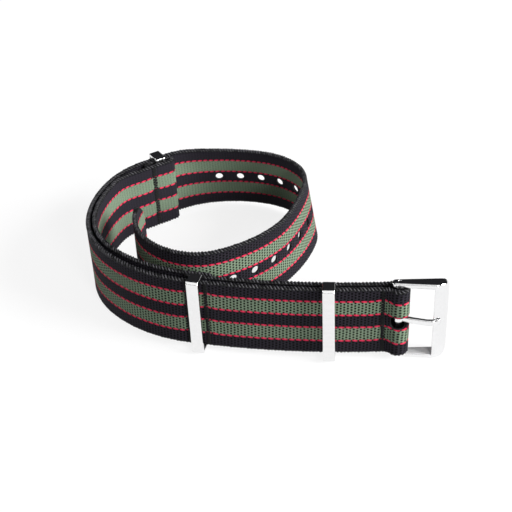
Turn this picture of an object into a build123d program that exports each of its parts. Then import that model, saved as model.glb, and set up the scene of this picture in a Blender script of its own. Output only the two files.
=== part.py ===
from build123d import *
from math import atan2, cos, degrees, pi, radians, sin
import os

os.makedirs("parts", exist_ok=True)

# A pull-through watch strap of woven webbing, coiled and standing on its edge.
# Millimetres. X runs along the front towards the buckle, Y away from the viewer, Z up from the floor.
# The origin is at the floor, under the centre of the whole strap's box.
pin_x = 34.4
pin_y = -32.45

# Webbing
strap_width = 20.0
webbing = 1.1
tip_radius = 6.0
top_lean = 3.6

# Buckle loop of the long strap
loop_middle_radius = 2.1
seam_from_pin = 3.9
front_beside_pin = 0.55
slot_left = 2.0
slot_right = 1.8
slot_height = 3.4
slit_gap = 0.3
slit_behind_pin = 1.3

# Route of the long strap, along the middle of the webbing, from the seam by the buckle to the tip
front_heading = 182.7
front_length = 48.9
front_radius = 200.0
left_length = 72.6
left_shares = (0.329, 0.258, 0.230, 0.183)
left_turns = (35.7, 39.7, 26.4, 31.3)
end_length = 9.0
far_length = 135.7
far_shares = (0.0810, 0.1201, 0.1149, 0.0936, 0.1430, 0.1452, 0.0729, 0.1548, 0.0745)
far_turns = (24.8, 27.7, 41.1, 44.1, 23.7, 29.0, 39.8, 63.0, 26.5)
# How much of the lean each leg has at its start, middle and end
lean_shares = ((0, 0.45, 0.85), (0.85, 1.05, 1), (1, 0.85, 0.75), (0.75, 0.8, 0.75), (0.75, 0.5, 0.1), (0.1, 0, 0))

# Holes in the long strap
hole_radius = 1.0
hole_count = 13
hole_pitch = 6.56
hole_from_tip = 43.9

# Keepers
keeper_bar = 0.8
keeper_width = 3.0
keeper_depth = 4.4
keeper_side_gap = 0.3
keeper_bevel = 0.5
keeper_edge = 0.2
bar_gap = 0.9
keeper_sliding_from_seam = 13.1
keeper_play = 0.6
keeper_end_from_seam = 2.8

# Seams of black thread
seam_width = 1.2
seam_height = 18.8
seam_proud = 0.15
seam_sunk = 0.15
stitch = 0.6
stitch_count = 6
stitch_pitch = 3.2
seam_to_cut = 0.9

# Short strap
layer_rest_gap = 0.3
end_layer_gap = 0.33
flap_run = 6.2
flap_return = 7.2
end_seam_along = 0.75

# Buckle frame, measured from the pin
arm_gap = 0.25
arm_thickness = 1.15
arm_end_radius = 1.05
arm_end_left = 0.85
bar_left = 8.4
bar_front_left = 1.7
bar_back_left = 0.4
bar_middle = 10.6
bar_front_middle = 0.9
bar_back_middle = 0.55
bar_right = 12.1
bar_tip_y = 1.5
bar_tip = 1.2
frame_corner = 2.2
frame_edge = 0.25

# Buckle tongue, measured from the pin
tongue_height = 1.5
tongue_thickness = 1.0
tongue_lift = 0.3
tongue_eye_radius = 1.35
tongue_knee_x = 3.3
tongue_knee_y = 1.1
tongue_dip_x = 6.8
tongue_dip_y = 1.95
tongue_rest_x = 8.4
tongue_rest_y = 2.0
tongue_tip_x = 9.9
tongue_tip_y = 1.25
tongue_bend = 2.0
tongue_edge = 0.25
notch_gap = 0.15

# Sprung pin
tube_radius = 0.9
tube_bore = 0.7
tube_inset = 1.2
tube_lip = 0.4
tube_lip_radius = 0.5
running_gap = 0.05
plunger_radius = 0.45
plunger_head_radius = 0.64
plunger_head = 1.5
plunger_from_face = 0.1
spring_radius = 0.46
spring_wire_radius = 0.1
spring_turns = 5
spring_wire_sides = 4

overrun = 1.0


def advance(place, length, turn):
    """Go along a run or a clockwise arc from a place (x, y, heading)."""
    x, y, heading = place
    chord = length
    if turn:
        chord = 2 * length / radians(turn) * sin(radians(turn / 2))
    direction = radians(heading - turn / 2)
    return (x + chord * cos(direction), y + chord * sin(direction), heading - turn)


def walk(place, legs):
    """Turn (length, turn) legs into (start, middle, end, turn) pieces."""
    pieces = []
    for length, turn in legs:
        end = advance(place, length, turn)
        pieces.append((place, advance(place, length / 2, turn / 2), end, turn))
        place = end
    return pieces


def along(place, legs, distance):
    """The place at a distance along the legs."""
    for length, turn in legs:
        if distance <= length:
            return advance(place, distance, turn * distance / length)
        place = advance(place, length, turn)
        distance -= length
    return place


def beside(place, distance):
    """The place at a distance to the right of travel, which is inside the coil."""
    x, y, heading = place
    return (x + distance * sin(radians(heading)), y - distance * cos(radians(heading)), heading)


def reverse(place):
    return (place[0], place[1], place[2] + 180)


def inside(legs, distance):
    """The same legs, run at a distance to the right of travel."""
    return [(length - distance * radians(turn), turn) for length, turn in legs]


def point(place, distance):
    return beside(place, distance)[:2]


def ribbon(pieces, bottom, shifts=None):
    """The outline of webbing whose middle follows the pieces, shifted inwards for a leaning top edge."""
    if shifts is None:
        shifts = [(0, 0, 0)] * len(pieces)
    sides = []
    for side in (-webbing / 2, webbing / 2):
        rows = []
        for (start, middle, end, turn), (s0, s1, s2) in zip(pieces, shifts):
            rows.append((point(start, side + s0), point(middle, side + s1), point(end, side + s2), turn))
        sides.append(rows)
    with BuildSketch(Plane.XY.offset(bottom)) as outline:
        with BuildLine():
            for rows in sides:
                for start, middle, end, turn in rows:
                    if turn:
                        ThreePointArc(start, middle, end)
                    else:
                        Line(start, end)
            Line(sides[0][-1][2], sides[1][-1][2])
            Line(sides[0][0][0], sides[1][0][0])
        make_face()
    return outline.sketch


def across(place, height):
    """A plane over the strap at a place: its X along the strap, its Y up, its Z into the coil."""
    heading = radians(place[2])
    return Plane(
        origin=(place[0], place[1], height),
        x_dir=(-cos(heading), -sin(heading), 0),
        z_dir=(sin(heading), -cos(heading), 0),
    )


def keeper(place):
    """A bevelled ring whose inner bar lies in the gap beside the layer that it goes round."""
    heading = radians(place[2])
    centre = beside(place, webbing / 2 + (bar_gap + keeper_bar - keeper_depth) / 2)
    ring_plane = Plane(
        origin=(centre[0], centre[1], strap_middle),
        x_dir=(sin(heading), -cos(heading), 0),
        z_dir=(cos(heading), sin(heading), 0),
    )
    with BuildPart() as ring:
        with BuildSketch(ring_plane):
            Rectangle(keeper_depth, keeper_height)
        extrude(amount=keeper_width / 2, both=True)
        long_edges = ring.edges().filter_by(Axis(ring_plane.origin, ring_plane.z_dir))
        chamfer(long_edges, keeper_bevel)
        end_faces = ring.faces().filter_by(Axis(ring_plane.origin, ring_plane.z_dir))
        fillet(end_faces.edges(), keeper_edge)
        with BuildSketch(ring_plane):
            Rectangle(keeper_depth - 2 * keeper_bar, keeper_height - 2 * keeper_bar)
        extrude(amount=keeper_width, both=True, mode=Mode.SUBTRACT)
    return ring.part


def seam(place, first, last, proud_first, proud_last):
    """A bar tack through the layers from the first face to the last, both measured into the coil."""
    with BuildPart() as tack:
        plane = across(place, strap_middle)
        with BuildSketch(plane.offset(first - proud_first)):
            Rectangle(seam_width, seam_height)
        extrude(amount=proud_first + seam_sunk)
        with BuildSketch(plane.offset(last - seam_sunk)):
            Rectangle(seam_width, seam_height)
        extrude(amount=proud_last + seam_sunk)
        with BuildSketch(plane.offset(first)):
            with GridLocations(stitch_pitch, stitch_pitch, 1, stitch_count):
                Rectangle(stitch, stitch)
        extrude(amount=last - first)
    return tack.part


# Heights
frame_height = strap_width + 2 * (arm_thickness + arm_gap)
keeper_height = strap_width + 2 * (keeper_bar + keeper_side_gap)
tube_length = strap_width - 2 * tube_inset
strap_bottom = arm_thickness + arm_gap
strap_top = strap_bottom + strap_width
strap_middle = strap_bottom + strap_width / 2
tongue_middle = strap_middle + tongue_lift

# Layers at the front, measured from the middle of the outer layer into the coil
layer_step = webbing + bar_gap
inner_face = layer_step + webbing / 2
short_step = layer_step + webbing

# The long strap's legs from the seam by the buckle to the tip
front_start = (pin_x - seam_from_pin, pin_y - front_beside_pin, front_heading)
front_legs = [(front_length, degrees(front_length / front_radius))]
left_legs = [(left_length * share, turn) for share, turn in zip(left_shares, left_turns)]
end_legs = [(end_length, 0)]
far_legs = [(far_length * share, turn) for share, turn in zip(far_shares, far_turns)]
all_legs = front_legs + left_legs + end_legs + far_legs
run_length = sum(length for length, turn in all_legs)

front_pieces = walk(front_start, front_legs)
left_pieces = walk(front_pieces[-1][2], left_legs)
end_pieces = walk(left_pieces[-1][2], end_legs)
far_pieces = walk(end_pieces[-1][2], far_legs)
lean_count = len(lean_shares)

# The loop round the pin: out of the inner layer, round the pin and into the outer layer
inner_seam = beside(front_start, layer_step)


def swing(place, outward):
    """Radius, turn and contact of the arc that leads from a seam outwards to the loop's circle."""
    dx = place[0] - pin_x
    dy = place[1] - pin_y
    nx = outward * sin(radians(place[2]))
    ny = -outward * cos(radians(place[2]))
    gap = dx * nx + dy * ny
    radius = (dx * dx + dy * dy - loop_middle_radius**2) / (2 * (loop_middle_radius - gap))
    to_pin = atan2(-(dy + ny * radius), -(dx + nx * radius))
    from_centre = atan2(-ny, -nx)
    turn = degrees(abs((to_pin - from_centre + pi) % (2 * pi) - pi))
    return radius, turn


inner_radius, inner_turn = swing(inner_seam, 1)
outer_radius, outer_turn = swing(front_start, -1)
loop_turn = 180 + inner_turn + outer_turn
loop_legs = [
    (inner_radius * radians(inner_turn), -inner_turn),
    (loop_middle_radius * radians(loop_turn), loop_turn),
    (outer_radius * radians(outer_turn), -outer_turn),
]
inner_start = reverse(beside(front_pieces[-1][2], layer_step))
inner_legs = [(length, -turn) for length, turn in inside(front_legs, layer_step)]
inner_pieces = walk(inner_start, inner_legs)
loop_pieces = walk(inner_pieces[-1][2], loop_legs)

# Seams and keepers along the front, measured from the seam by the buckle
keeper_seam_along = front_length - seam_to_cut
pocket = keeper_width + 2 * keeper_play + stitch
front_seam_along = keeper_seam_along - pocket
seam_buckle_place = front_start
seam_front_place = along(front_start, front_legs, front_seam_along)
seam_keeper_place = along(front_start, front_legs, keeper_seam_along)
keeper_sliding_place = along(front_start, front_legs, keeper_sliding_from_seam)
keeper_fixed_place = along(front_start, front_legs, front_seam_along + pocket / 2)

# The short strap: inside the seams, out to the long strap, in beside it and round its keeper's bar
short_start = beside(along(front_start, front_legs, front_seam_along - seam_to_cut), short_step)
short_front = front_length - front_seam_along + seam_to_cut
short_front_legs = inside([(short_front, degrees(short_front / front_radius))], short_step)
rest_step = webbing + layer_rest_gap
drift = (left_legs[0][0] + left_legs[1][0]) / 2
closing = degrees((short_step - rest_step) / drift)
fold_radius = (webbing + bar_gap) / 2
end_step = 2 * fold_radius + webbing + end_layer_gap
half_length, half_turn = left_legs[3][0] / 2, left_legs[3][1] / 2
flap_swing = degrees((end_step - rest_step) / half_length)
short_legs = (
    short_front_legs
    + inside([(left_legs[0][0], left_legs[0][1])], short_step)
    + inside(left_legs[1:3], rest_step)
    + inside([(half_length, half_turn), (half_length, half_turn)], (rest_step + end_step) / 2)
    + [(flap_run, 0)]
)
short_legs[1] = (short_legs[1][0], short_legs[1][1] - closing)
short_legs[2] = (short_legs[2][0], short_legs[2][1] + closing)
short_legs[4] = (short_legs[4][0], short_legs[4][1] + flap_swing)
short_legs[5] = (short_legs[5][0], short_legs[5][1] - flap_swing)
fold_legs = [(fold_radius * pi, -180), (flap_return, 0)]
short_pieces = walk(short_start, short_legs + fold_legs)
fold_place = short_pieces[-2][0]
flap_end_place = advance(fold_place, end_seam_along - flap_run, 0)
keeper_end_place = advance(fold_place, keeper_end_from_seam + end_seam_along - flap_run, 0)

# Sub-part: seam by the buckle
with BuildPart() as seam_buckle:
    add(seam(seam_buckle_place, -webbing / 2, inner_face, seam_proud, seam_proud))
seam_buckle.part.label = "seam_buckle"
export_step(seam_buckle.part, "parts/seam_buckle.step")

# Sub-part: seam between the two front keepers
with BuildPart() as seam_front:
    add(seam(seam_front_place, -webbing / 2, short_step + webbing / 2, seam_proud, seam_proud))
seam_front.part.label = "seam_front"
export_step(seam_front.part, "parts/seam_front.step")

# Sub-part: seam beyond the fixed keeper
with BuildPart() as seam_keeper:
    add(seam(seam_keeper_place, -webbing / 2, short_step + webbing / 2, seam_proud, seam_proud))
seam_keeper.part.label = "seam_keeper"
export_step(seam_keeper.part, "parts/seam_keeper.step")

# Sub-part: seam at the end of the short strap
with BuildPart() as seam_end:
    add(seam(flap_end_place, -2 * fold_radius - webbing / 2, webbing / 2, 0, seam_proud))
seam_end.part.label = "seam_end"
export_step(seam_end.part, "parts/seam_end.step")

# Sub-part: long strap
with BuildPart() as main_strap:
    before_lean = inner_pieces + loop_pieces + front_pieces + left_pieces + end_pieces
    extrude(ribbon(before_lean, strap_bottom), amount=strap_width)
    leaning = far_pieces[:lean_count]
    shifts = [tuple(top_lean * share for share in row) for row in lean_shares]
    loft([ribbon(leaning, strap_bottom), ribbon(leaning, strap_top, shifts)], ruled=True)
    extrude(ribbon(far_pieces[lean_count:], strap_bottom), amount=strap_width)
    # Rounded tip
    tip = far_pieces[-1][2]
    tip_plane = across(tip, strap_middle)
    with BuildSketch(tip_plane):
        Rectangle(2 * tip_radius, strap_width + 2 * overrun)
        with Locations((2 * tip_radius, 0)):
            RectangleRounded(4 * tip_radius, strap_width, tip_radius, mode=Mode.SUBTRACT)
    extrude(amount=tip_radius, both=True, mode=Mode.SUBTRACT)
    # Holes
    for number in range(hole_count):
        hole = along(front_start, all_legs, run_length - hole_from_tip - number * hole_pitch)
        with BuildSketch(across(hole, strap_middle)):
            Circle(hole_radius)
        extrude(amount=top_lean + webbing, both=True, mode=Mode.SUBTRACT)
    # Slot and slit for the tongue
    with BuildSketch(Plane.XY.offset(strap_middle)):
        with Locations((pin_x, pin_y)):
            with Locations(((slot_right - slot_left) / 2, -loop_middle_radius)):
                Rectangle(slot_right + slot_left, 2 * loop_middle_radius)
    extrude(amount=slot_height / 2, both=True, mode=Mode.SUBTRACT)
    slit_reach = loop_middle_radius + webbing
    with BuildSketch(Plane.XY.offset(tongue_middle)):
        with Locations((pin_x, pin_y)):
            with Locations((slit_reach / 2, (slit_behind_pin - slit_reach) / 2)):
                Rectangle(slit_reach, slit_reach + slit_behind_pin)
    extrude(amount=tongue_height / 2 + slit_gap, both=True, mode=Mode.SUBTRACT)
    for tack in (seam_buckle, seam_front, seam_keeper):
        add(tack.part, mode=Mode.SUBTRACT)
main_strap.part.label = "main_strap"
export_step(main_strap.part, "parts/main_strap.step")

# Sub-part: short strap
with BuildPart() as short_strap:
    extrude(ribbon(short_pieces, strap_bottom), amount=strap_width)
    for tack in (seam_front, seam_keeper, seam_end):
        add(tack.part, mode=Mode.SUBTRACT)
short_strap.part.label = "short_strap"
export_step(short_strap.part, "parts/short_strap.step")

# Sub-part: keeper between the two front seams
with BuildPart() as keeper_sliding:
    add(keeper(keeper_sliding_place))
keeper_sliding.part.label = "keeper_sliding"
export_step(keeper_sliding.part, "parts/keeper_sliding.step")

# Sub-part: keeper held between two seams
with BuildPart() as keeper_fixed:
    add(keeper(keeper_fixed_place))
keeper_fixed.part.label = "keeper_fixed"
export_step(keeper_fixed.part, "parts/keeper_fixed.step")

# Sub-part: keeper in the fold of the short strap, round the long strap
with BuildPart() as keeper_end:
    add(keeper(beside(keeper_end_place, -2 * fold_radius)))
keeper_end.part.label = "keeper_end"
export_step(keeper_end.part, "parts/keeper_end.step")


def at_pin(x, y):
    return (pin_x + x, pin_y + y)


def tongue_outline(gap):
    """The tongue seen from above, with a gap all round it."""
    with BuildSketch() as outline:
        with BuildLine():
            FilletPolyline(
                at_pin(0, 0),
                at_pin(tongue_knee_x, -tongue_knee_y),
                at_pin(tongue_dip_x, -tongue_dip_y),
                at_pin(tongue_rest_x, -tongue_rest_y),
                at_pin(tongue_tip_x + gap, -tongue_tip_y),
                radius=tongue_bend,
            )
        trace(line_width=tongue_thickness + 2 * gap)
        with Locations(at_pin(0, 0)):
            Circle(tongue_eye_radius + gap)
    return outline.sketch


# Sub-part: buckle frame
window_height = frame_height - 2 * arm_thickness
with BuildPart() as buckle_frame:
    with BuildSketch():
        with BuildLine():
            ThreePointArc(
                at_pin(-arm_end_left, arm_end_radius),
                at_pin(-arm_end_left - arm_end_radius, 0),
                at_pin(-arm_end_left, -arm_end_radius),
            )
            Line(at_pin(-arm_end_left, -arm_end_radius), at_pin(bar_left, -bar_front_left))
            ThreePointArc(
                at_pin(bar_left, -bar_front_left),
                at_pin(bar_middle, -bar_front_middle),
                at_pin(bar_right, bar_tip_y),
            )
            Line(at_pin(bar_right, bar_tip_y), at_pin(bar_right - bar_tip, bar_tip_y))
            Line(at_pin(bar_right - bar_tip, bar_tip_y), at_pin(-arm_end_left, arm_end_radius))
        make_face()
    extrude(amount=frame_height)
    chamfer(buckle_frame.faces().filter_by(Axis.Z).edges(), frame_edge)
    # Rounded corners of the front bar
    corner_plane = Plane(origin=(pin_x, pin_y, frame_height / 2), x_dir=(1, 0, 0), z_dir=(0, -1, 0))
    with BuildSketch(corner_plane):
        Rectangle(2 * (bar_right + overrun), frame_height + 2 * overrun)
        RectangleRounded(2 * bar_right, frame_height, frame_corner, mode=Mode.SUBTRACT)
        with Locations((-bar_right / 2, 0)):
            Rectangle(bar_right + 2 * overrun, frame_height + 2 * overrun, mode=Mode.SUBTRACT)
    extrude(amount=bar_right, both=True, mode=Mode.SUBTRACT)
    # Window between the arms, and the hollow behind the front bar
    with BuildSketch(Plane.XY.offset(arm_thickness)):
        with BuildLine():
            Line(at_pin(-3 * overrun, -bar_left), at_pin(bar_left, -bar_left))
            Line(at_pin(bar_left, -bar_left), at_pin(bar_left, -bar_back_left))
            ThreePointArc(
                at_pin(bar_left, -bar_back_left),
                at_pin(bar_middle - bar_tip, bar_back_middle),
                at_pin(bar_right - bar_tip, bar_tip_y),
            )
            Line(at_pin(bar_right - bar_tip, bar_tip_y), at_pin(bar_right - bar_tip, bar_left))
            Line(at_pin(bar_right - bar_tip, bar_left), at_pin(-3 * overrun, bar_left))
            Line(at_pin(-3 * overrun, bar_left), at_pin(-3 * overrun, -bar_left))
        make_face()
    extrude(amount=window_height, mode=Mode.SUBTRACT)
    with BuildSketch():
        with Locations(at_pin(0, 0)):
            Circle(plunger_radius + running_gap)
    extrude(amount=frame_height, mode=Mode.SUBTRACT)
    # Notch for the tongue's point
    with BuildSketch(Plane.XY.offset(tongue_middle - tongue_height / 2 - notch_gap)):
        add(tongue_outline(notch_gap))
    extrude(amount=tongue_height + 2 * notch_gap, mode=Mode.SUBTRACT)
buckle_frame.part.label = "buckle_frame"
export_step(buckle_frame.part, "parts/buckle_frame.step")

# Sub-part: buckle tongue, rolled round the pin, with its point in the front bar's notch
with BuildPart() as buckle_tongue:
    with BuildSketch(Plane.XY.offset(tongue_middle - tongue_height / 2)):
        add(tongue_outline(0))
    extrude(amount=tongue_height)
    fillet(buckle_tongue.faces().filter_by(Axis.Z).edges(), tongue_edge)
    with BuildSketch(Plane.XY.offset(tongue_middle - tongue_height / 2)):
        with Locations(at_pin(0, 0)):
            Circle(tube_radius + running_gap)
    extrude(amount=tongue_height, mode=Mode.SUBTRACT)
buckle_tongue.part.label = "buckle_tongue"
export_step(buckle_tongue.part, "parts/buckle_tongue.step")

# Sub-part: tube of the sprung pin
tube_bottom = frame_height / 2 - tube_length / 2
with BuildPart() as pin_tube:
    with BuildSketch(Plane.XY.offset(tube_bottom)):
        with Locations(at_pin(0, 0)):
            Circle(tube_radius)
            Circle(tube_lip_radius, mode=Mode.SUBTRACT)
    extrude(amount=tube_length)
    with BuildSketch(Plane.XY.offset(tube_bottom + tube_lip)):
        with Locations(at_pin(0, 0)):
            Circle(tube_bore)
    extrude(amount=tube_length - 2 * tube_lip, mode=Mode.SUBTRACT)
pin_tube.part.label = "pin_tube"
export_step(pin_tube.part, "parts/pin_tube.step")

# Sub-parts: plungers, each with a head inside the tube and its end in an arm
head_bottom = tube_bottom + tube_lip + running_gap
with BuildPart() as pin_plunger_lower:
    with BuildSketch(Plane.XY.offset(plunger_from_face)):
        with Locations(at_pin(0, 0)):
            Circle(plunger_radius)
    extrude(amount=head_bottom - plunger_from_face)
    with BuildSketch(Plane.XY.offset(head_bottom)):
        with Locations(at_pin(0, 0)):
            Circle(plunger_head_radius)
    extrude(amount=plunger_head)
pin_plunger_lower.part.label = "pin_plunger_lower"
export_step(pin_plunger_lower.part, "parts/pin_plunger_lower.step")

with BuildPart() as pin_plunger_upper:
    add(mirror(pin_plunger_lower.part, about=Plane.XY.offset(frame_height / 2), mode=Mode.PRIVATE))
pin_plunger_upper.part.label = "pin_plunger_upper"
export_step(pin_plunger_upper.part, "parts/pin_plunger_upper.step")

# Sub-part: spring between the plungers' heads
spring_bottom = head_bottom + plunger_head + running_gap + spring_wire_radius
spring_length = frame_height - 2 * spring_bottom
with BuildPart() as pin_spring:
    with BuildLine():
        coil = Helix(spring_length / spring_turns, spring_length, spring_radius, (pin_x, pin_y, spring_bottom))
    with BuildSketch(Plane(origin=coil @ 0, z_dir=coil % 0)):
        RegularPolygon(spring_wire_radius, spring_wire_sides)
    sweep(is_frenet=True)
pin_spring.part.label = "pin_spring"
export_step(pin_spring.part, "parts/pin_spring.step")

front_centre = beside(front_start, front_radius)
print("front curve centre", front_centre)
print("keepers", keeper_sliding_place, keeper_fixed_place, keeper_end_place)
print("pin", pin_x, pin_y, "run", run_length, "short", sum(leg[0] for leg in short_legs + fold_legs))
print("pocket", pocket, "front seam at", front_seam_along, "tip", tip)
print("spring least gap", spring_length / spring_turns - 2 * spring_wire_radius)
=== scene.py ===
import bpy
from math import atan2, cos, degrees, pi, radians, sin, tan
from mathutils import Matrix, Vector
import numpy as np


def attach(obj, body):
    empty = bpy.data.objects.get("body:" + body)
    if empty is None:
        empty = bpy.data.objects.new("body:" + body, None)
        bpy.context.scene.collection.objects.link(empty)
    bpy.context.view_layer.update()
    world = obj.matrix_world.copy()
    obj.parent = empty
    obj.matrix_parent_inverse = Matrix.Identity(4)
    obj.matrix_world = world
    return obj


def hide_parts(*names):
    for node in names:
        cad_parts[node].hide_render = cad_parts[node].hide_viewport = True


# A pull-through watch strap of woven webbing, coiled and standing on its edge

# Lengths are in millimetres, as in the solids, and this turns them into metres
MM = 0.001
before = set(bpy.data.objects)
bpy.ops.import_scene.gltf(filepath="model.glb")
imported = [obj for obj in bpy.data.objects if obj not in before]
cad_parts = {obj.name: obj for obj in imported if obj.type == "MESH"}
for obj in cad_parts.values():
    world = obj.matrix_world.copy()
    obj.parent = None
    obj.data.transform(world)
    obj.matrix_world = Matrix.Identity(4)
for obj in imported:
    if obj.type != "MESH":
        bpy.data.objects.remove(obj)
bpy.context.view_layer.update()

# Route of the webbing: the same runs and arcs as the solids
pin_x, pin_y = 34.4, -32.45
strap_width, webbing, strap_bottom = 20.0, 1.1, 1.4
loop_middle_radius, seam_from_pin, front_beside_pin = 2.1, 3.9, 0.55
front_heading, front_length, front_radius = 182.7, 48.9, 200.0
left_length = 72.6
left_shares, left_turns = (0.329, 0.258, 0.230, 0.183), (35.7, 39.7, 26.4, 31.3)
end_length, far_length = 9.0, 135.7
far_shares = (0.0810, 0.1201, 0.1149, 0.0936, 0.1430, 0.1452, 0.0729, 0.1548, 0.0745)
far_turns = (24.8, 27.7, 41.1, 44.1, 23.7, 29.0, 39.8, 63.0, 26.5)
top_lean = 3.6
lean_shares = (0, 0.45, 0.85, 1.05, 1, 0.85, 0.75, 0.8, 0.75, 0.5, 0.1, 0, 0)
tip_radius = 6.0
bar_gap, layer_rest_gap, end_layer_gap = 0.9, 0.3, 0.33
flap_run, flap_return, end_seam_along = 6.2, 7.2, 0.75
seam_width, seam_height, seam_to_cut, pocket = 1.2, 18.8, 0.9, 4.8

# Adjustment holes, and how much wider their melted rims are
hole_radius, hole_count, hole_pitch, hole_from_tip = 1.0, 13, 6.56, 43.9
hole_melt = 0.12
# Slot for the tongue in the loop, with a slit where the tongue's roll comes through
slot_left, slot_right, slot_height, slot_corner = 2.0, 1.8, 3.4, 1.2
slit_height, slit_behind_pin, slit_corner, slit_into_slot, tongue_lift = 2.1, 1.3, 0.5, 1.0, 0.3

# Weave: pitch of the red dashes along the webbing, and of the dark dots across it
dash_pitch, dot_pitch = 1.73, 0.82

# Mesh of the webbing: its cells, finer along it by the holes and slot, and finer in its middle rows
cell, fine_cell, middle_cell = 0.45, 0.2, 0.18
fine_by_hole, fine_by_slot = 0.3, 0.6
# Half heights of the flat faces and of the middle rows, and the room that an edge leaves for its yarns
face_half, middle_half, selvedge_room = 9.45, 2.25, 0.22
# Directions of the lines round an edge, from face A to face B
edge_turns = np.radians([30, 60, 90, 120, 150])
# A rim is thinner this far out, and draws points this near onto itself
rim_width, rim_thinning, rim_reach = 0.38, 0.26, 0.6
# A seam pinches the webbing this far each way, and pulls its weave down
seam_half, seam_pinch, seam_pull = 0.95, 0.14, 0.30
# Slow waves in the faces
swell, swell_along, swell_up, swell_skew = 0.018, 0.31, 0.42, 0.07
# Painted shade inside the loop: face B is dark from this far before the loop starts to this far past its seam
painted_shade_before_loop, painted_shade_past_seam = 4.0, 1.0

# Selvedge: slanting loops of yarn over each edge, each a ribbon with this section (across, out)
loop_rows, loop_half, loop_slant, loop_inset, first_loop_at = 7, 0.29, 1.15, 0.05, 0.6
loop_pitch = dash_pitch / 2
loop_ribbon = ((-1, -0.16), (-0.6, 0.02), (0, 0.10), (0.6, 0.02), (1, -0.16))
# How far in a loop stands, how high it rises, unevenly by (size, rate), and how far in its heart is
loop_foot, loop_rise, loop_uneven, loop_heart = 0.42, 0.43, ((0.05, 2.4), (0.04, 5.1)), 0.6
# How far its feet turn and run on over the faces, and how far out they are, as a share of its arc
foot_turn, foot_run, foot_out = 0.20, 1.1, 0.96
# Loops are flatter by this share where a ring's bar is close, and this far past it
loop_by_ring, past_ring = 0.78, 2.0
# Where the loops stop before the rounded tip and before the end of the short strap
stop_by_tip, stop_by_end = 0.4, 0.5

# Thread of the seams, and how much each stitch may differ
thread_radius, thread_reach, thread_bulge, thread_tilt, thread_count = 0.19, 0.46, 0.11, 0.16, 44
thread_flat, tilt_spread, reach_spread, bulge_spread = 0.8, 0.05, 0.12, 0.020

half_width = strap_width / 2
strap_middle = strap_bottom + half_width
layer_step = webbing + bar_gap
short_step = layer_step + webbing


def advance(place, length, turn):
    """Go along a run or a clockwise arc from a place (x, y, heading)."""
    x, y, heading = place
    chord = length if not turn else 2 * length / radians(turn) * sin(radians(turn / 2))
    direction = radians(heading - turn / 2)
    return (x + chord * cos(direction), y + chord * sin(direction), heading - turn)


def beside(place, distance):
    """The place this far to the right of travel."""
    x, y, heading = place
    return (x + distance * sin(radians(heading)), y - distance * cos(radians(heading)), heading)


def inside(legs, distance):
    """The same legs on a line this far inside clockwise arcs."""
    return [(length - distance * radians(turn), turn) for length, turn in legs]


def swing(place, outward):
    """Radius and turn of the arc from a seam outwards to the loop round the pin."""
    dx, dy = place[0] - pin_x, place[1] - pin_y
    nx, ny = outward * sin(radians(place[2])), -outward * cos(radians(place[2]))
    gap = dx * nx + dy * ny
    radius = (dx * dx + dy * dy - loop_middle_radius**2) / (2 * (loop_middle_radius - gap))
    to_pin = atan2(-(dy + ny * radius), -(dx + nx * radius))
    turn = degrees(abs((to_pin - atan2(-ny, -nx) + pi) % (2 * pi) - pi))
    return radius, turn


front_start = (pin_x - seam_from_pin, pin_y - front_beside_pin, front_heading)
front_legs = [(front_length, degrees(front_length / front_radius))]
left_legs = [(left_length * share, turn) for share, turn in zip(left_shares, left_turns)]
far_legs = [(far_length * share, turn) for share, turn in zip(far_shares, far_turns)]
outer_legs = front_legs + left_legs + [(end_length, 0)] + far_legs
run_length = sum(length for length, turn in outer_legs)
front_end = advance(front_start, *front_legs[0])

inner_radius, inner_turn = swing(beside(front_start, layer_step), 1)
outer_radius, outer_turn = swing(front_start, -1)
loop_turn = 180 + inner_turn + outer_turn
loop_legs = [
    (inner_radius * radians(inner_turn), -inner_turn),
    (loop_middle_radius * radians(loop_turn), loop_turn),
    (outer_radius * radians(outer_turn), -outer_turn),
]
inner_end = beside(front_end, layer_step)
inner_start = (inner_end[0], inner_end[1], inner_end[2] + 180)
inner_legs = [(length, -turn) for length, turn in inside(front_legs, layer_step)]
long_legs = inner_legs + loop_legs + outer_legs
# Distances along the long strap to the buckle's seam, where the outer layer starts, and to the loop
outer_at = sum(length for length, turn in inner_legs + loop_legs)
loop_start = outer_at - loop_legs[2][0] - loop_legs[1][0]

keeper_seam_along = front_length - seam_to_cut
front_seam_along = keeper_seam_along - pocket


def along(place, legs, distance):
    """The place this far along the legs."""
    for length, turn in legs:
        if distance <= length:
            return advance(place, distance, turn * distance / length)
        place = advance(place, length, turn)
        distance -= length
    return place


short_start = beside(along(front_start, front_legs, front_seam_along - seam_to_cut), short_step)
short_front = front_length - front_seam_along + seam_to_cut
rest_step = webbing + layer_rest_gap
fold_radius = (webbing + bar_gap) / 2
end_step = 2 * fold_radius + webbing + end_layer_gap
closing = degrees((short_step - rest_step) / ((left_legs[0][0] + left_legs[1][0]) / 2))
half_length, half_turn = left_legs[3][0] / 2, left_legs[3][1] / 2
flap_swing = degrees((end_step - rest_step) / half_length)
short_legs = (
    inside([(short_front, degrees(short_front / front_radius))], short_step)
    + inside([left_legs[0]], short_step)
    + inside(left_legs[1:3], rest_step)
    + inside([(half_length, half_turn), (half_length, half_turn)], (rest_step + end_step) / 2)
    + [(flap_run, 0)]
)
short_legs[1] = (short_legs[1][0], short_legs[1][1] - closing)
short_legs[2] = (short_legs[2][0], short_legs[2][1] + closing)
short_legs[4] = (short_legs[4][0], short_legs[4][1] + flap_swing)
short_legs[5] = (short_legs[5][0], short_legs[5][1] - flap_swing)
fold_at = sum(length for length, turn in short_legs)
short_legs = short_legs + [(fold_radius * pi, -180), (flap_return, 0)]


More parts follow.
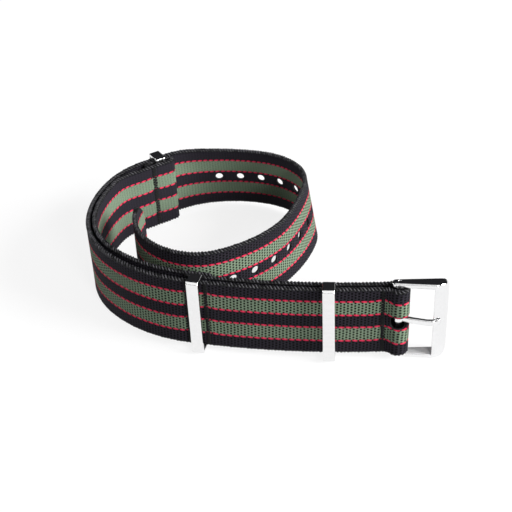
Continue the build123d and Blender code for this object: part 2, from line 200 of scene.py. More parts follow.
def smooth(values, spread):
    """A Gaussian average along an array, with its ends held."""
    count = int(3 * spread) + 1  # three standard deviations each way
    weights = np.exp(-0.5 * (np.arange(-count, count + 1) / spread) ** 2)
    padded = np.concatenate([np.full(count, values[0]), values, np.full(count, values[-1])])
    return np.convolve(padded, weights / weights.sum(), "valid")


class Route:
    """Where a strap is at any distance along it. Past lean_from, its top leans inwards."""

    sample_count = 4000
    lean_spread = 2.0

    def __init__(self, start, legs, lean_from=None):
        self.start, self.legs = start, legs
        self.length = sum(length for length, turn in legs)
        self.samples = np.linspace(0, self.length, self.sample_count)
        self.lean = np.zeros(len(self.samples))
        if lean_from is not None:
            ends = [lean_from]
            for length, turn in far_legs[:6]:
                ends += [ends[-1] + length / 2, ends[-1] + length]
            raw = top_lean * np.interp(self.samples, ends, lean_shares)
            self.lean = smooth(raw, self.lean_spread * self.sample_count / self.length)

    def at(self, distances):
        """Places (x, y, heading) and the lean at these distances."""
        places = np.array([along(self.start, self.legs, d) for d in distances])
        return places, np.interp(distances, self.samples, self.lean)

    def put(self, u, v, out):
        """Points (metres) for arrays u along, v up from the middle and out to the left of travel."""
        flat = u.ravel()
        unique, back = np.unique(flat, return_inverse=True)
        places, lean = self.at(unique)
        x, y, heading = places[back, 0], places[back, 1], np.radians(places[back, 2])
        left_x, left_y = -np.sin(heading), np.cos(heading)
        lean = lean[back] * (v.ravel() + half_width) / strap_width
        side = out.ravel() - lean
        points = np.stack([x + left_x * side, y + left_y * side, strap_middle + v.ravel()], 1)
        return points * MM


back_at = outer_at + sum(length for length, turn in front_legs + left_legs) + end_length
long_route = Route(inner_start, long_legs, back_at)
short_route = Route(short_start, short_legs)


def mesh_object(name, points, faces, materials, uvs=None, face_slots=None):
    """A smooth-shaded object from points in metres."""
    mesh = bpy.data.meshes.new(name)
    mesh.from_pydata([tuple(p) for p in points], [], faces)
    mesh.update()
    if uvs is not None:
        layer = mesh.uv_layers.new(name="weave")
        loop_points = np.zeros(len(mesh.loops), dtype=np.int64)
        mesh.loops.foreach_get("vertex_index", loop_points)
        layer.data.foreach_set("uv", np.asarray(uvs, dtype=np.float32)[loop_points].ravel())
    for material in materials:
        mesh.materials.append(material)
    if face_slots is not None:
        mesh.polygons.foreach_set("material_index", np.asarray(face_slots, dtype=np.int32))
    mesh.polygons.foreach_set("use_smooth", np.full(len(mesh.polygons), True))
    mesh.update()
    made = bpy.data.objects.new(name, mesh)
    bpy.context.scene.collection.objects.link(made)
    return made


# Materials
class Nodes:
    """Short ways to write a node tree."""

    def __init__(self, tree):
        self.tree = tree

    def new(self, kind, **settings):
        node = self.tree.nodes.new(kind)
        for key, value in settings.items():
            setattr(node, key, value)
        return node

    def put(self, value, socket):
        """Set a socket to a number or colour, or link an output to it."""
        if isinstance(value, (int, float)):
            socket.default_value = value
        elif isinstance(value, tuple):
            socket.default_value = (*value, 1)
        else:
            self.tree.links.new(value, socket)

    def math(self, operation, *values):
        node = self.new("ShaderNodeMath", operation=operation)
        for socket, value in zip(node.inputs, values):
            self.put(value, socket)
        return node.outputs[0]

    def scaled(self, value, factor, offset):
        return self.math("MULTIPLY_ADD", value, factor, offset)

    def power(self, value, exponent):
        return self.math("POWER", self.math("ABSOLUTE", value), exponent)

    def step(self, value, low, high):
        """0 below low, 1 above high and smooth between."""
        node = self.new("ShaderNodeMapRange", interpolation_type="SMOOTHSTEP")
        self.put(value, node.inputs["Value"])
        node.inputs["From Min"].default_value = low
        node.inputs["From Max"].default_value = high
        return node.outputs["Result"]

    def fade(self, value, low, high):
        """1 below low and 0 above high."""
        return self.math("SUBTRACT", 1.0, self.step(value, low, high))

    def mix(self, factor, a, b, blend="MIX"):
        node = self.new("ShaderNodeMix", data_type="RGBA", blend_type=blend)
        for socket, value in ((0, factor), (6, a), (7, b)):
            self.put(value, node.inputs[socket])
        return node.outputs[2]

    def ramp(self, value, stops, interpolation):
        """Colours at rising places."""
        node = self.new("ShaderNodeValToRGB")
        node.color_ramp.interpolation = interpolation
        while len(node.color_ramp.elements) < len(stops):
            node.color_ramp.elements.new(0.5)
        for element, (place, colour) in zip(node.color_ramp.elements, stops):
            element.position = place
            element.color = (*colour, 1)
        self.put(value, node.inputs[0])
        return node.outputs[0]

    def noise(self, vector, scale, detail):
        node = self.new("ShaderNodeTexNoise")
        node.inputs["Scale"].default_value = scale
        node.inputs["Detail"].default_value = detail
        self.put(vector, node.inputs["Vector"])
        return node.outputs["Fac"]

    def apart(self, vector):
        node = self.new("ShaderNodeSeparateXYZ")
        self.put(vector, node.inputs[0])
        return node.outputs

    def bump(self, height, distance, shader, strength=1.0):
        node = self.new("ShaderNodeBump")
        node.inputs["Strength"].default_value = strength
        node.inputs["Distance"].default_value = distance
        self.put(height, node.inputs["Height"])
        self.put(node.outputs["Normal"], shader.inputs["Normal"])
        return node


def new_material(name):
    material = bpy.data.materials.new(name)
    material.use_nodes = True
    return material, Nodes(material.node_tree), material.node_tree.nodes["Principled BSDF"]


BLACK = (0.0245, 0.0220, 0.0290)
GREEN = (0.184, 0.248, 0.171)
RED = (0.72, 0.034, 0.090)
LINE_BED = (0.010, 0.009, 0.011)
# Painted shade in the dips of the weave
DOT = (0.0015, 0.0018, 0.0016)
# Near black of the cut edges and hole walls, also used as painted shade on face B inside the loop
CUT_EDGE_AND_SHADE = (0.0045, 0.0045, 0.0050)
THREAD = (0.007, 0.007, 0.008)
# Painted shade between the selvedge loops and painted highlight on their crests
LOOP_SHADE, LOOP_HIGHLIGHT = (0.0025, 0.0025, 0.0035), (0.095, 0.092, 0.103)
RING_STEEL, BUCKLE_STEEL, PIN_STEEL = (0.94, 0.94, 0.94), (0.95, 0.95, 0.955), (0.66, 0.66, 0.68)

# Where the red lines are, as shares of the width from the top, and half a line's width
line_shares, line_half_share = (0.193, 0.400, 0.590, 0.800), 0.0125
# Half sizes of a dot and a dash, as shares of a column, a row and a dash's pitch
dot_half_along, dot_half_up, dash_half_along = 0.37, 0.33, 0.40
# Where a dot, a dash and the dark bed of a line fade, from full to none, and how a dash is shaped
dot_fade, dash_fade, bed_fade = (0.40, 1.20), (0.70, 1.25), (0.95, 1.15)
dash_slant, dash_round, bed_cover, stripe_step = 0.45, 2.5, 0.92, 0.004
# How far the yarns stray from straight, along (mm) and across (a share), and how the columns lean
stray_along, stray_across, column_lean = 0.35, 0.006, radians(2)
# How fine the noise of the weave is, per millimetre
stray_scale, fibre_scale, patch_scale = 0.35, 3.6, 0.12
# Random tone of the fibres and patches, painted highlight on the ribs and painted shade between the yarns, as
# factor and offset
fibre_light, patch_light, painted_rib_highlight, painted_yarn_shade = (0.95, 0.43), (0.16, 0.96), (0.24, 0.90), (-0.14, 1.07)
# Relief: its depth in millimetres, and how far each thing goes up or down as a share of it
relief_depth, rib_relief, yarn_relief = 0.10, -0.30, -0.22
dot_relief, dash_relief, fibre_relief = -0.55, 0.30, 0.22

# How fine the noise of thread, selvedge yarns and steel is, per metre
thread_fibre_scale, thread_patch_scale = 9000.0, 700.0
loop_fibre_scale, loop_patch_scale = 7000.0, 900.0
smear_scale, scratch_scale, scratch_stretch = 160.0, 1.6, (220.0, 2600.0, 900.0)
# A brushed face looks up by this much, and is rougher and less like a mirror
brushed_up, brushed_rough, brushed_metal = 0.9, 0.50, -0.55


def weave_dots(n, u, v):
    """Dots where the yarns dip, in columns, every other one half a yarn up. Also the ribs and the yarns."""
    column = n.math("DIVIDE", u, dash_pitch / 2)
    half_up = n.math("MULTIPLY", n.math("FLOORED_MODULO", n.math("FLOOR", column), 2), 0.5)
    across_column = n.math("SUBTRACT", n.math("FRACT", column), 0.5)
    row = n.math("ADD", n.math("DIVIDE", v, dot_pitch), half_up)
    across_row = n.math("SUBTRACT", n.math("FRACT", row), 0.5)
    dot_along = n.power(n.math("DIVIDE", across_column, dot_half_along), 2)
    dot_up = n.power(n.math("DIVIDE", across_row, dot_half_up), 2)
    dot = n.fade(n.math("ADD", dot_along, dot_up), *dot_fade)
    rib = n.math("ABSOLUTE", n.math("MULTIPLY", across_column, 2))
    yarn = n.math("ABSOLUTE", n.math("MULTIPLY", across_row, 2))
    return dot, rib, yarn


def weave_lines(n, u, from_top, dash_end):
    """The dashed lines, as rounded and slightly slanted floats of red yarn, and the dark beds they lie in."""
    dash = n.math("SUBTRACT", n.math("FRACT", n.math("DIVIDE", u, dash_pitch)), 0.5)
    dash_along = n.power(n.math("DIVIDE", dash, dash_half_along), dash_end)
    dashes, beds = [], []
    for share in line_shares:
        offset = n.math("DIVIDE", n.math("SUBTRACT", from_top, share), line_half_share)
        dash_up = n.power(n.scaled(dash, dash_slant, offset), dash_round)
        dashes.append(n.fade(n.math("ADD", dash_up, dash_along), *dash_fade))
        beds.append(n.fade(n.math("ABSOLUTE", offset), *bed_fade))
    on_dash, on_bed = dashes[0], beds[0]
    for one_dash, one_bed in zip(dashes[1:], beds[1:]):
        on_dash = n.math("MAXIMUM", on_dash, one_dash)
        on_bed = n.math("MAXIMUM", on_bed, one_bed)
    return on_dash, on_bed


def weave(name, dot_depth, dash_end):
    """Woven stripes: dots of painted shade in columns between the ribs, and dashed lines between the stripes.

    dash_end is the power that shapes a dash: 2 makes a bead, and more makes it square.
    """
    material, n, shader = new_material(name)
    uv = n.new("ShaderNodeUVMap", uv_map="weave").outputs[0]
    u, v = n.apart(uv)[:2]
    stray = n.noise(uv, stray_scale, 2.0)
    u = n.scaled(v, tan(column_lean), u)
    u = n.scaled(stray, stray_along, u)
    from_top = n.scaled(v, -1 / strap_width, 0.5)
    from_top = n.scaled(stray, stray_across, n.math("SUBTRACT", from_top, stray_across / 2))

    dot, rib, yarn = weave_dots(n, u, v)
    on_dash, on_bed = weave_lines(n, u, from_top, dash_end)

    # Stripes, with edges that step with the yarns
    stops = list(zip((0.0, *line_shares), (BLACK, GREEN, BLACK, GREEN, BLACK)))
    stripes = n.ramp(n.scaled(rib, stripe_step, from_top), stops, "CONSTANT")

    # Colour: painted highlight on the ribs, painted shade between the yarns and in the dips, random fibre
    # tone and uneven dye
    fibre = n.noise(uv, fibre_scale, 4.0)
    patch = n.noise(uv, patch_scale, 2.0)
    light = n.scaled(fibre, *fibre_light)
    light = n.math("MULTIPLY", light, n.scaled(patch, *patch_light))
    # Painted highlight on the ribs and painted shade between the yarn rows
    light = n.math("MULTIPLY", light, n.scaled(rib, painted_rib_highlight[0] * dot_depth, painted_rib_highlight[1]))
    light = n.math("MULTIPLY", light, n.scaled(yarn, *painted_yarn_shade))
    base = n.mix(n.math("MULTIPLY", on_bed, bed_cover), stripes, LINE_BED)
    # Painted shade: the dips are darkened towards DOT
    base = n.mix(n.math("MULTIPLY", dot, dot_depth), base, DOT)
    base = n.mix(on_dash, base, RED)
    shade = n.new("ShaderNodeCombineColor")
    for socket in shade.inputs[:3]:
        n.put(light, socket)
    n.put(n.mix(1.0, base, shade.outputs[0], "MULTIPLY"), shader.inputs["Base Color"])

    n.put(n.scaled(fibre, 0.25, 0.55), shader.inputs["Roughness"])
    shader.inputs["Specular IOR Level"].default_value = 0.04
    shader.inputs["Sheen Weight"].default_value = 0.015
    shader.inputs["Sheen Roughness"].default_value = 0.45
    shader.inputs["Sheen Tint"].default_value = (0.8, 0.85, 1.0, 1)

    height = n.scaled(rib, rib_relief, 0.6)
    height = n.scaled(yarn, yarn_relief, height)
    height = n.scaled(dot, dot_relief * max(dot_depth, 0.4), height)
    height = n.scaled(on_dash, dash_relief, height)
    height = n.scaled(fibre, fibre_relief, height)
    n.bump(height, relief_depth * MM, shader)
    return material


def thread_material(name, colour, gloss):
    """Twisted polyester thread, with painted shade between its fibres placed by a fine noise."""
    material, n, shader = new_material(name)
    place = n.new("ShaderNodeTexCoord").outputs["Object"]
    fibre = n.noise(place, thread_fibre_scale, 4.0)
    patch = n.noise(place, thread_patch_scale, 2.0)
    dark = tuple(c * 0.35 for c in colour)
    n.put(n.mix(n.step(fibre, 0.35, 0.70), dark, colour), shader.inputs["Base Color"])
    n.put(n.scaled(patch, 0.3, gloss), shader.inputs["Roughness"])
    shader.inputs["Specular IOR Level"].default_value = 0.18
    shader.inputs["Sheen Weight"].default_value = 0.03
    n.bump(fibre, 0.05 * MM, shader)
    return material


def loop_material(name):
    """Edge yarns: painted shade between the loops and a painted highlight along each crest."""
    material, n, shader = new_material(name)
    crest = n.apart(n.new("ShaderNodeUVMap", uv_map="weave").outputs[0])[0]
    place = n.new("ShaderNodeTexCoord").outputs["Object"]
    fibre = n.noise(place, loop_fibre_scale, 3.0)
    patch = n.noise(place, loop_patch_scale, 2.0)
    lit = n.math("MULTIPLY", n.step(crest, 0.25, 0.95), n.step(patch, 0.35, 0.65))
    lit = n.math("MULTIPLY", lit, n.scaled(fibre, 0.6, 0.7))
    n.put(n.mix(lit, LOOP_SHADE, LOOP_HIGHLIGHT), shader.inputs["Base Color"])
    n.put(n.scaled(patch, 0.3, 0.35), shader.inputs["Roughness"])
    shader.inputs["Specular IOR Level"].default_value = 0.25
    n.bump(fibre, 0.03 * MM, shader)
    return material


def steel(name, colour, roughness, scratches, edge, brushed_below=None):
    """Polished steel with worn edges, fine scratches and slightly uneven gloss.

    Faces that look up below brushed_below are brushed.
    """
    material, n, shader = new_material(name)
    coordinates = n.new("ShaderNodeTexCoord")
    place = coordinates.outputs["Object"]
    stretch = n.new("ShaderNodeMapping")
    stretch.inputs["Scale"].default_value = scratch_stretch
    n.put(place, stretch.inputs[0])
    scratch = n.noise(stretch.outputs[0], scratch_scale, 5.0)
    smear = n.noise(place, smear_scale, 3.0)
    rough = n.scaled(smear, 0.05, roughness)
    shader.inputs["Metallic"].default_value = 1.0
    if brushed_below:
        low = n.math("LESS_THAN", n.apart(place)[2], brushed_below * MM)
        facing_up = n.math("GREATER_THAN", n.apart(coordinates.outputs["Normal"])[2], brushed_up)
        brushed = n.math("MULTIPLY", low, facing_up)
        rough = n.scaled(brushed, brushed_rough, rough)
        n.put(n.scaled(brushed, brushed_metal, 1.0), shader.inputs["Metallic"])
    n.put(rough, shader.inputs["Roughness"])
    tint = n.mix(n.step(scratch, 0.25, 0.75), tuple(c * 0.97 for c in colour), colour)
    n.put(tint, shader.inputs["Base Color"])
    bump = n.bump(n.step(scratch, 0.42, 0.60), 0.002 * MM, shader, scratches)
    worn = n.new("ShaderNodeBevel", samples=6)
    worn.inputs["Radius"].default_value = edge * MM
    n.put(worn.outputs["Normal"], bump.inputs["Normal"])
    return material


weave_outer = weave("weave_outer", 1.0, 4.0)
weave_inner = weave("weave_inner", 0.22, 2.0)
selvedge_yarn = loop_material("selvedge_yarn")
seam_thread = thread_material("seam_thread", THREAD, 0.50)
# The dark edge material also paints shade on face B inside the loop
cut_edge_and_shade = thread_material("cut_edge_and_shade", CUT_EDGE_AND_SHADE, 0.45)
FACE_A, FACE_B, EDGE_AND_SHADE = 0, 1, 2
webbing_materials = (weave_outer, weave_inner, cut_edge_and_shade)

steel_nodes = (
    (steel("keeper_steel", RING_STEEL, 0.05, 0.35, 0.24), ("keeper_sliding", "keeper_fixed", "keeper_end")),
    (steel("buckle_steel", BUCKLE_STEEL, 0.04, 0.30, 0.45, strap_bottom), ("buckle_frame", "buckle_tongue")),
    (steel("pin_steel", PIN_STEEL, 0.16, 0.6, 0.05),
     ("pin_tube", "pin_plunger_upper", "pin_plunger_lower", "pin_spring")),
)
for material, names in steel_nodes:
    for name in names:
        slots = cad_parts[name].data.materials
        slots.clear()
        slots.append(material)


# Webbing
def spaced(high, fine_spans):
    """Rising places from 0 to high, close together inside the spans."""
    places, touch, least = [0], 0.01, 0.3 * fine_cell
    while places[-1] < high:
        here = places[-1]
        near = any(a - touch <= here < b for a, b in fine_spans)
        ahead = [a for a, b in fine_spans if a > here + touch]
        step = fine_cell if near else cell
        if ahead and not near:
            step = min(step, max(ahead[0] - here, least))
        places.append(here + step)
    places[-1] = high
    if places[-1] - places[-2] < least:
        places.pop(-2)
    return np.array(places)


# A cut is a signed distance in the flat webbing, below 0 where the cloth is gone
def circle_cut(centre_u, radius):
    """A round hole on the middle line."""
    def cut(u, v):
        return np.hypot(u - centre_u, v) - radius
    return cut


def box_cut(u0, u1, v0, v1, corner):
    """A rectangle with rounded corners."""
    def cut(u, v):
        qx = np.abs(u - (u0 + u1) / 2) - (u1 - u0) / 2 + corner
        qy = np.abs(v - (v0 + v1) / 2) - (v1 - v0) / 2 + corner
        return np.hypot(np.maximum(qx, 0), np.maximum(qy, 0)) + np.minimum(np.maximum(qx, qy), 0) - corner
    return cut


def either(*cuts):
    """One opening made of several cuts."""
    def cut(u, v):
        return np.min([c(u, v) for c in cuts], 0)
    return cut


def share_at_end(u, length, radius):
    """How much of the half width the webbing has left where its far end is rounded."""
    inset = np.clip(radius - (length - u), 0, radius)
    return (half_width - radius + np.sqrt(radius**2 - inset**2)) / half_width


def cut_out(u, v, cuts):
    """Which faces stay, with their border drawn onto the cuts, and how near each point is to a rim."""
    gone = np.zeros(u.shape, bool)
    for cut in cuts:
        gone |= cut(u, v) < 0
    keep_face = ~(gone[:-1, :-1] | gone[1:, :-1] | gone[:-1, 1:] | gone[1:, 1:])
    touches_gone = np.zeros(u.shape, bool)
    for di in (0, 1):
        for dj in (0, 1):
            touches_gone[di:u.shape[0] - 1 + di, dj:u.shape[1] - 1 + dj] |= ~keep_face
    border = touches_gone & ~gone
    rim, nudge, rounds = np.zeros(u.shape), 1e-3, 3
    for cut in cuts:
        near = border & (np.abs(cut(u, v)) < rim_reach)
        for _ in range(rounds):
            distance = cut(u, v)
            slope_u = (cut(u + nudge, v) - distance) / nudge
            slope_v = (cut(u, v + nudge) - distance) / nudge
            u = np.where(near, u - distance * slope_u, u)
            v = np.where(near, v - distance * slope_v, v)
        rim = np.maximum(rim, np.exp(-((cut(u, v) / rim_width) ** 2)))
    return u, v, keep_face, rim


def cloth_points(route, u, v, share, thick, seams):
    """Points and UVs of face A, left of travel, of face B, right of it, and of both rounded edges."""
    wave = swell * np.sin(u * swell_along) * np.cos(v * swell_up + u * swell_skew)
    points = [route.put(u, v, thick + wave), route.put(u, v, -thick + wave)]
    uvs = [np.stack([u.ravel(), v.ravel()], 1)] * 2
    for sign, j in ((1, -1), (-1, 0)):
        room = (half_width - face_half - selvedge_room) * share[:, j]
        for turn in edge_turns:
            edge_v = v[:, j] + sign * room * sin(turn)
            points.append(route.put(u[:, j], edge_v, cos(turn) * thick[:, j] + wave[:, j]))
            uvs.append(np.stack([u[:, j], edge_v], 1))
    points, uvs = np.concatenate(points), np.concatenate(uvs)
    for seam in seams:
        uvs[:, 1] -= seam_pull * np.exp(-(((uvs[:, 0] - seam) / (2 * seam_half)) ** 2))
    return points, uvs


def edge_lines(index, edge):
    """Numbers of the points along one rounded edge, line by line."""
    start = 2 * index.size + edge * len(edge_turns) * len(index)
    return [start + k * len(index) + np.arange(len(index)) for k in range(len(edge_turns))]


def each_cell(mask):
    """Row and column of every true cell."""
    return zip(*[axis.tolist() for axis in np.nonzero(mask)])


def hole_walls(index, keep_face):
    """Faces between the rims of a hole."""
    rows, columns = keep_face.shape
    for i, j in each_cell(~keep_face):
        corners = [(i, j), (i + 1, j), (i + 1, j + 1), (i, j + 1)]
        neighbours = [(i, j - 1), (i + 1, j), (i, j + 1), (i - 1, j)]
        for side, (ni, nj) in enumerate(neighbours):
            if 0 <= ni < rows and 0 <= nj < columns and keep_face[ni, nj]:
                p, q = index[corners[side]], index[corners[(side + 1) % 4]]
                yield (p, q, q + index.size, p + index.size)


def rounded_edges(index):
    """Faces round both edges, from face A to face B."""
    for edge, j in enumerate((-1, 0)):
        lines = [index[:, j], *edge_lines(index, edge), index[:, j] + index.size]
        for first, second in zip(lines[:-1], lines[1:]):
            for i in range(len(index) - 1):
                quad = (first[i], first[i + 1], second[i + 1], second[i])
                yield quad if edge == 0 else quad[::-1]


def cut_ends(index):
    """One face over each cut end."""
    for i, turn_over in ((0, False), (len(index) - 1, True)):
        ring = [*index[i, :], *[line[i] for line in edge_lines(index, 0)]]
        ring += [*(index[i, ::-1] + index.size), *[line[i] for line in reversed(edge_lines(index, 1))]]
        yield ring[::-1] if turn_over else ring


def woven_strap(name, route, cuts=(), fine_spans=(), seams=(), end_radius=None, painted_shade_span=None):
    """The webbing with its holes, its rounded edges and its cut ends. Over the given span, face B takes the
    dark edge material as painted shade inside the loop.
    """
    us = spaced(route.length, fine_spans)
    # Each run of rows stops a little past its last one, which arange would leave out
    vs = np.concatenate([
        np.arange(-face_half, -middle_half - 0.05, cell),
        np.arange(-middle_half, middle_half + 0.01, middle_cell),
        np.arange(middle_half + cell, face_half + 0.05, cell),
    ])
    u, v = np.meshgrid(us, vs, indexing="ij")
    share = share_at_end(u, route.length, end_radius) if end_radius else np.ones_like(u)
    u, v, keep_face, rim = cut_out(u, v * share, cuts)

    # Thinner at the seams and rims
    thick = np.full(u.shape, webbing / 2)
    for seam in seams:
        thick = thick - seam_pinch * np.exp(-(((u - seam) / seam_half) ** 4))
    thick = thick - rim_thinning * rim
    points, uvs = cloth_points(route, u, v, share, thick, seams)

    index = np.arange(u.size).reshape(u.shape)
    faces, slots = [], []
    for i, j in each_cell(keep_face):
        a, b, c, d = index[i, j], index[i + 1, j], index[i + 1, j + 1], index[i, j + 1]
        # Inside the loop, face B gets the dark edge material as painted shade
        in_painted_shade = painted_shade_span and painted_shade_span[0] < u[i, j] < painted_shade_span[1]
        faces += [(a, d, c, b), (a + u.size, b + u.size, c + u.size, d + u.size)]
        slots += [FACE_A, EDGE_AND_SHADE if in_painted_shade else FACE_B]
    sides = [*hole_walls(index, keep_face), *rounded_edges(index), *cut_ends(index)]
    faces = [tuple(int(k) for k in face) for face in faces + sides]
    slots += [EDGE_AND_SHADE] * len(sides)
    return mesh_object(name, points, faces, webbing_materials, uvs, slots)


def loop_place(low, high, axis, pin, from_pin):
    """Distance along the strap, from low to high in the loop, where x or y is this far from the pin."""
    steps = np.linspace(low, high, 400)
    places, lean = long_route.at(steps)
    return float(steps[np.argmin(np.abs(places[:, axis] - pin - from_pin))])


loop_half_at = loop_start + loop_legs[1][0] / 2
slot_u = [loop_place(loop_half_at, outer_at, 0, pin_x, x) for x in (slot_right, -slot_left)]
slit_u = loop_place(loop_start, loop_half_at, 1, pin_y, slit_behind_pin)
slit_low, slit_high = tongue_lift - slit_height / 2, tongue_lift + slit_height / 2
tongue_slot = either(
    box_cut(*slot_u, -slot_height / 2, slot_height / 2, slot_corner),
    box_cut(slit_u, slot_u[0] + slit_into_slot, slit_low, slit_high, slit_corner),
)
hole_places = [outer_at + run_length - hole_from_tip - k * hole_pitch for k in range(hole_count)]
hole_cuts = [circle_cut(place, hole_radius + hole_melt) for place in hole_places]
hole_span = hole_radius + fine_by_hole
fine_at_slot = (slit_u - fine_by_slot, slot_u[1] + fine_by_slot)
fine_at_holes = [(place - hole_span, place + hole_span) for place in reversed(hole_places)]
strap_long = woven_strap(
    "webbing_long", long_route,
    cuts=hole_cuts + [tongue_slot],
    fine_spans=[fine_at_slot] + fine_at_holes,
    seams=[
        outer_at, outer_at - sum(length for length, turn in loop_legs),
        outer_at + front_seam_along, outer_at + keeper_seam_along,
        inner_legs[0][0] * (1 - front_seam_along / front_length),
        inner_legs[0][0] * (1 - keeper_seam_along / front_length),
    ],
    end_radius=tip_radius,
    # Face B is painted dark as shade inside the loop
    painted_shade_span=(loop_start - painted_shade_before_loop, outer_at + painted_shade_past_seam),
)
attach(strap_long, "strap")
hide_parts("main_strap")

end_seam_at = fold_at - flap_run + end_seam_along
short_seams = (seam_to_cut, seam_to_cut + pocket, end_seam_at)
strap_short = woven_strap("webbing_short", short_route, seams=short_seams)
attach(strap_short, "strap")
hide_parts("short_strap")


# Selvedges
def loop_line(route, place, sign, rise, flatter, ring_side):
    """Middle line of one loop of yarn, from foot to foot, and the point it goes round, in millimetres."""
    spread = webbing / 2 - loop_inset
    us, vs, outs = [], [], []
    for t in np.linspace(-foot_turn, 1 + foot_turn, loop_rows):
        us.append(place + loop_slant * loop_pitch * (t - 0.5) * sign)
        if 0 < t < 1:
            vs.append(sign * (half_width - loop_foot + rise * sin(pi * t)))
            out = spread * cos(pi * t)
        else:
            # The feet go down into the face
            vs.append(sign * (half_width - loop_foot - foot_run * (abs(t - 0.5) - 0.5)))
            out = spread * (foot_out if t <= 0 else -foot_out)
        outs.append(out * flatter if out * ring_side > 0 else out)
    us = np.clip(np.array(us), 0, route.length)
    line = route.put(us, np.array(vs), np.array(outs)) / MM
    heart_v = sign * (half_width - loop_heart)
    heart = route.put(np.array([place]), np.array([heart_v]), np.array([0.0]))[0] / MM
    return line, heart


def selvedge(name, route, high, ring_side, ring_low, ring_high):
    """Yarn loops over both edges, flatter where a ring's bar is close, on its side of the webbing."""
    points, faces, crests = [], [], []
    last, across = loop_rows - 1, len(loop_ribbon)
    for sign in (1, -1):
        for number, place in enumerate(np.arange(first_loop_at, high, loop_pitch)):
            rise = loop_rise + sum(share * sin(number * rate) for share, rate in loop_uneven)
            flatter = loop_by_ring if ring_low < place < ring_high else 1
            first = len(points)
            centre, middle = loop_line(route, place, sign, rise, flatter, ring_side)
            tangents = np.gradient(centre, axis=0)
            for k in range(loop_rows):
                tangent = tangents[k] / np.linalg.norm(tangents[k])
                outward = centre[k] - middle
                outward -= tangent * outward.dot(tangent)
                outward /= np.linalg.norm(outward)
                bow = sin(pi * k / last)
                side = np.cross(tangent, outward) * loop_half * (0.75 + 0.25 * bow)
                for w, h in loop_ribbon:
                    points.append((centre[k] + side * w + outward * h) * MM)
                    # How near the crest a point is, which places the painted highlight
                    crests.append((1 - abs(w), bow))
            for k in range(last):
                for w in range(across - 1):
                    a = first + k * across + w
                    faces.append((a, a + 1, a + across + 1, a + across))
    made = mesh_object(name, points, faces, (selvedge_yarn,), crests)
    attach(made, "strap")


selvedge("selvedge_long", long_route, long_route.length - tip_radius - stop_by_tip,
         -1, 0, outer_at + front_length + past_ring)
selvedge("selvedge_short", short_route, short_route.length - stop_by_end,
         1, fold_at - flap_run - past_ring, short_route.length)


# Seams
def stitched(name, node, place, faces_out, seed, reach=thread_reach):
    """Close rows of thread across the webbing, on each face given as (distance out, side)."""
    random = np.random.default_rng(seed)
    heading = radians(place[2])
    forward = np.array([cos(heading), sin(heading), 0])
    left = np.array([-sin(heading), cos(heading), 0])
    upward = np.array([0, 0, 1])
    steps, sides = np.linspace(-1, 1, 7), 6
    points, faces = [], []
    for out, sign in faces_out:
        for k in range(thread_count):
            height = -seam_height / 2 + seam_height * (k + 0.5) / thread_count
            tilt = (thread_tilt if k % 2 else -thread_tilt) + random.normal(0, tilt_spread)
            half = reach * (1 + random.normal(0, reach_spread))
            bulge = thread_bulge + random.normal(0, bulge_spread)
            first = len(points)
            for t in steps:
                centre = (np.array([place[0], place[1], strap_middle + height + tilt * t * 0.5])
                          + forward * half * t + left * (out + sign * bulge * (1 - t**4)))
                for q in range(sides):
                    angle = 2 * pi * q / sides
                    spoke = upward * cos(angle) + left * thread_flat * sin(angle)
                    points.append((centre + spoke * thread_radius) * MM)
            last = first + (len(steps) - 1) * sides
            for ring in range(first, last, sides):
                for q in range(sides):
                    a, b = ring + q, ring + (q + 1) % sides
                    faces.append((a, b, b + sides, a + sides))
            faces.append(tuple(reversed(range(first, first + sides))))
            faces.append(tuple(range(last, last + sides)))
    made = mesh_object(name, points, faces, (seam_thread,))
    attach(made, "strap")
    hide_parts(node)


seat = webbing / 2 - seam_pinch
front, behind, behind_short = (seat, 1), (-(layer_step + seat), -1), (-(short_step + seat), -1)
flap_faces = ((-seat, -1), (2 * fold_radius + seat, 1))
front_seam_place = along(front_start, front_legs, front_seam_along)
keeper_seam_place = along(front_start, front_legs, keeper_seam_along)
flap_place = along(short_start, short_legs, end_seam_at)
stitched("stitches_buckle", "seam_buckle", front_start, (front, behind), 1)
stitched("stitches_front", "seam_front", front_seam_place, (front, behind_short), 2)
stitched("stitches_keeper", "seam_keeper", keeper_seam_place, (front, behind_short), 3)
stitched("stitches_end", "seam_end", flap_place, flap_faces, 4, seam_width / 2)


# Studio

# Half size of the floor and how far it is below the part, in metres, with its grey and its glow
floor_half, floor_below = 3.0, 0.0002
floor_grey, floor_to_camera, floor_in_steel = 0.18, 0.82, 0.70
# The steel sees a soft box over the viewer, full this far from its middle, with dark round it
world_light, world_dark = (0.34, 0.34, 0.35), (0.016, 0.016, 0.018)
soft_box, soft_box_full, soft_box_none = (0.0, -0.55, 0.83), radians(26), radians(34)
# The middle of the strap, in metres
lamp_aim = (0.0, 0.0, 0.01)


def seen_directly(n, paths):
    """1 where the camera sees a thing, also through glass."""
    return n.math("MAXIMUM", paths["Is Camera Ray"], paths["Is Transmission Ray"])


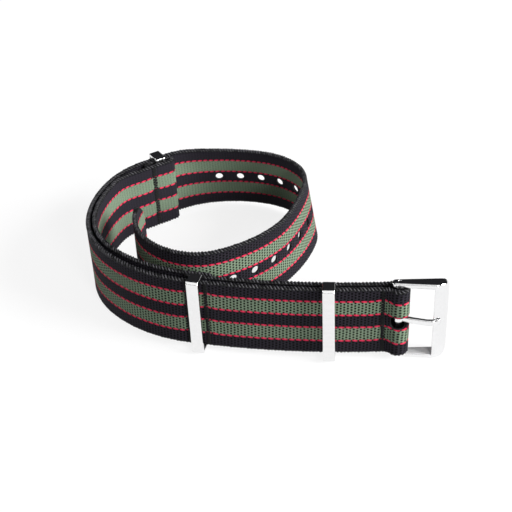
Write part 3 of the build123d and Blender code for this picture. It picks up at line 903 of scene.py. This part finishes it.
def add_floor():
    """A floor that is white to the camera and pale in the steel, and keeps the strap's shadow."""
    corners = [(x * floor_half, y * floor_half, 0) for x, y in ((-1, -1), (1, -1), (1, 1), (-1, 1))]
    mesh = bpy.data.meshes.new("floor")
    mesh.from_pydata(corners, [], [(0, 1, 2, 3)])
    floor = bpy.data.objects.new("floor", mesh)
    floor.location.z = -floor_below
    bpy.context.scene.collection.objects.link(floor)
    material, n, shader = new_material("floor")
    n.tree.nodes.remove(shader)
    diffuse = n.new("ShaderNodeBsdfDiffuse")
    diffuse.inputs["Color"].default_value = (floor_grey, floor_grey, floor_grey, 1)
    paths = n.new("ShaderNodeLightPath").outputs
    direct = n.math("MULTIPLY", seen_directly(n, paths), floor_to_camera)
    glow = n.new("ShaderNodeEmission")
    n.put(n.scaled(paths["Is Glossy Ray"], floor_in_steel, direct), glow.inputs["Strength"])
    both = n.new("ShaderNodeAddShader")
    n.put(diffuse.outputs[0], both.inputs[0])
    n.put(glow.outputs[0], both.inputs[1])
    n.put(both.outputs[0], n.tree.nodes["Material Output"].inputs["Surface"])
    mesh.materials.append(material)


def add_world():
    """Soft light from all sides, white behind the strap, with the soft box for the steel."""
    world = bpy.data.worlds.new("studio")
    bpy.context.scene.world = world
    world.use_nodes = True
    n = Nodes(world.node_tree)
    background = n.tree.nodes["Background"]
    toward = n.new("ShaderNodeVectorMath", operation="DOT_PRODUCT")
    n.put(n.new("ShaderNodeTexCoord").outputs["Generated"], toward.inputs[0])
    toward.inputs[1].default_value = Vector(soft_box).normalized()
    stops = [(cos(soft_box_none), world_dark), (cos(soft_box_full), (1, 1, 1))]
    reflected = n.ramp(toward.outputs["Value"], stops, "LINEAR")
    paths = n.new("ShaderNodeLightPath").outputs
    lit = n.mix(paths["Is Glossy Ray"], world_light, reflected)
    n.put(n.mix(seen_directly(n, paths), lit, (1, 1, 1)), background.inputs["Color"])
    background.inputs["Strength"].default_value = 1.0


def area_light(name, place, size, watts):
    """A square lamp that is aimed at the strap. Its place and size are in metres."""
    lamp = bpy.data.lights.new(name, "AREA")
    lamp.shape = "RECTANGLE"
    lamp.size = lamp.size_y = size
    lamp.energy = watts
    lit = bpy.data.objects.new(name, lamp)
    lit.location = place
    lit.rotation_euler = (Vector(lamp_aim) - Vector(place)).to_track_quat("-Z", "Y").to_euler()
    bpy.context.scene.collection.objects.link(lit)


add_floor()
add_world()
area_light("key", (1.88, -0.55, 1.00), 1.0, 84.0)
area_light("fill", (0.95, -1.75, 1.05), 0.4, 16.0)
area_light("side", (-1.80, -0.05, 0.72), 0.6, 8.0)

# Camera, fitted to the photograph

# Focal length and middle of the view in pixels of a 512 px frame
frame_px, focal_px, view_middle_px = 512, 1110, (338, 248)
# Its place from the pin and the strap's bottom, and how many degrees it looks down
camera_from_pin, camera_down = (-14.8, -211.13, 181.77), 35.5
camera = bpy.data.cameras.new("camera")
camera.sensor_width = 36.0
camera.lens = focal_px / frame_px * camera.sensor_width
camera.shift_x = (frame_px / 2 - view_middle_px[0]) / frame_px
camera.shift_y = (view_middle_px[1] - frame_px / 2) / frame_px
camera_object = bpy.data.objects.new("camera", camera)
camera_object.location = (Vector((pin_x, pin_y, strap_bottom)) + Vector(camera_from_pin)) * MM
camera_object.rotation_euler = (radians(90 - camera_down), 0, 0)
bpy.context.scene.collection.objects.link(camera_object)
bpy.context.scene.camera = camera_object
bpy.context.scene.view_settings.view_transform = "Standard"
